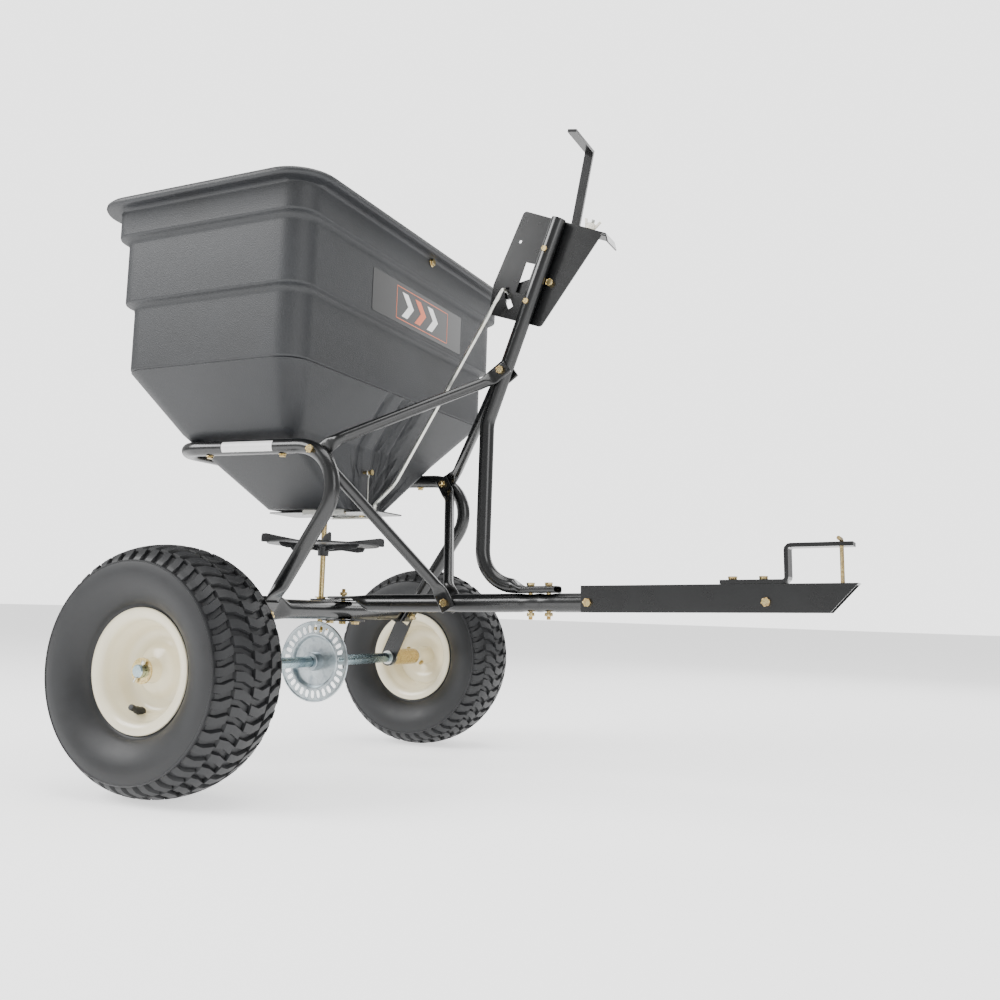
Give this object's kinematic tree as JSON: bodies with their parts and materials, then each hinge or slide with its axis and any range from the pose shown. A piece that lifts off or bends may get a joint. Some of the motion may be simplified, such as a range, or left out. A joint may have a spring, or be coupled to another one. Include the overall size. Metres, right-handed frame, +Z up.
{
  "type": "tow-behind broadcast spreader",
  "caption": "Tow-behind broadcast spreader with a tapered poly hopper on a bent tube frame, pneumatic wheels, a geared spinner, a flow lever and a pin hitch.",
  "frame": {"origin": "on the ground, at the middle of the machine's length and width", "axes": "+X forward along the tongue towards the hitch, +Y to the left of travel (the far side), +Z up"},
  "size_m": [1.1984, 0.943, 1.0994],
  "materials": {
    "axle_steel": "bluish zinc plate",
    "black_nylon": "black nylon",
    "black_paint": "gloss black powder coat",
    "black_poly": "textured black polyethylene",
    "bright_zinc": "bright zinc plate",
    "cream_paint": "gloss cream paint",
    "rubber": "matt black rubber",
    "white_nylon": "off-white nylon",
    "yellow_zinc": "yellow zinc plate"
  },
  "bodies": {
    "frame": {"clamp_plate": "black_paint", "cross_tube": "black_paint", "cross_tube_bolt": "yellow_zinc", "far_axle_bracket": "black_paint", "far_axle_bush": "bright_zinc", "far_knee_bolt": "yellow_zinc", "far_leg_bolt": "yellow_zinc", "far_lower_brace": "black_paint", "far_upper_brace": "black_paint", "flow_bracket": "black_paint", "flow_bracket_bolt_lower": "yellow_zinc", "flow_bracket_bolt_upper": "yellow_zinc", "gate_guide": "bright_zinc", "hanger_stud": "yellow_zinc", "hitch_brace_bolt": "yellow_zinc", "hitch_bracket": "black_paint", "hitch_bracket_bolt_front": "yellow_zinc", "hitch_bracket_bolt_rear": "yellow_zinc", "hitch_tube": "black_paint", "hopper": "black_poly", "hopper_loop_tube": "black_paint", "lever_pivot_bolt": "yellow_zinc", "near_axle_bracket": "black_paint", "near_axle_bush": "bright_zinc", "near_knee_bolt": "yellow_zinc", "near_leg_bolt": "yellow_zinc", "near_lower_brace": "black_paint", "near_upper_brace": "black_paint", "rod_hanger": "bright_zinc", "shaft_lower_bush": "yellow_zinc", "shaft_plate": "black_paint", "shaft_upper_bush": "yellow_zinc", "tongue_bolt_front": "yellow_zinc", "tongue_bolt_rear": "yellow_zinc", "tongue_channel": "black_paint", "upright_brace_bolt": "yellow_zinc", "upright_foot_bolt_front": "yellow_zinc", "upright_foot_bolt_rear": "yellow_zinc", "upright_tube": "black_paint"},
    "axle": {"axle": "axle_steel", "ring_gear": "bright_zinc", "far_rim": "cream_paint", "far_tyre": "rubber", "drive_pin": "yellow_zinc", "far_axle_spacer": "yellow_zinc", "near_axle_spacer": "yellow_zinc", "near_wheel_washer": "yellow_zinc", "cotter_pin": "bright_zinc"},
    "near_wheel": {"near_rim": "cream_paint", "near_tyre": "rubber"},
    "spinner": {"drive_shaft": "yellow_zinc", "pinion": "yellow_zinc", "spinner_plate": "black_nylon", "agitator_pin": "bright_zinc"},
    "lever": {"flow_lever": "black_paint"},
    "rod": {"control_rod": "bright_zinc"},
    "gate": {"gate_slide": "black_paint"},
    "stop": {"stop_bolt": "bright_zinc", "stop_wing_nut": "white_nylon"},
    "pin": {"hitch_pin": "yellow_zinc"}
  },
  "joints": [
    {"name": "axle_spin", "type": "hinge", "parent": "frame", "child": "axle", "pos_m": [-0.35273, 0, 0.188], "axis": [0, 1, 0], "continuous": true},
    {"name": "near_wheel_spin", "type": "hinge", "parent": "frame", "child": "near_wheel", "pos_m": [-0.35273, -0.393, 0.188], "axis": [0, 1, 0], "continuous": true},
    {"name": "spinner_spin", "type": "hinge", "parent": "frame", "child": "spinner", "pos_m": [-0.35273, 0, 0.404], "axis": [0, 0, 1], "continuous": true},
    {"name": "lever_swing", "type": "hinge", "parent": "frame", "child": "lever", "pos_m": [0.09008, 0.0215, 0.8632], "axis": [0, 1, 0], "range_deg": [-18, 2]},
    {"name": "rod_swing", "type": "hinge", "parent": "lever", "child": "rod", "pos_m": [0.00627, -0.004, 0.857], "axis": [0, 1, 0], "range_deg": [-4, 25]},
    {"name": "gate_travel", "type": "slide", "parent": "frame", "child": "gate", "axis": [1, 0, 0], "range_m": [-0.0355, 0.005]},
    {"name": "stop_travel", "type": "slide", "parent": "frame", "child": "stop", "axis": [0.927, 0, -0.3751], "range_m": [0, 0.02]},
    {"name": "pin_lift", "type": "slide", "parent": "frame", "child": "pin", "axis": [-0.0262, 0, 0.9997], "range_m": [0, 0.075]}
  ],
  "couplings": [
    {"joint": "spinner_spin", "follows": "axle_spin", "ratio": 5},
    {"joint": "rod_swing", "follows": "lever_swing", "ratio": -1.331},
    {"joint": "gate_travel", "follows": "lever_swing", "m_per_rad": 0.1103}
  ]
}
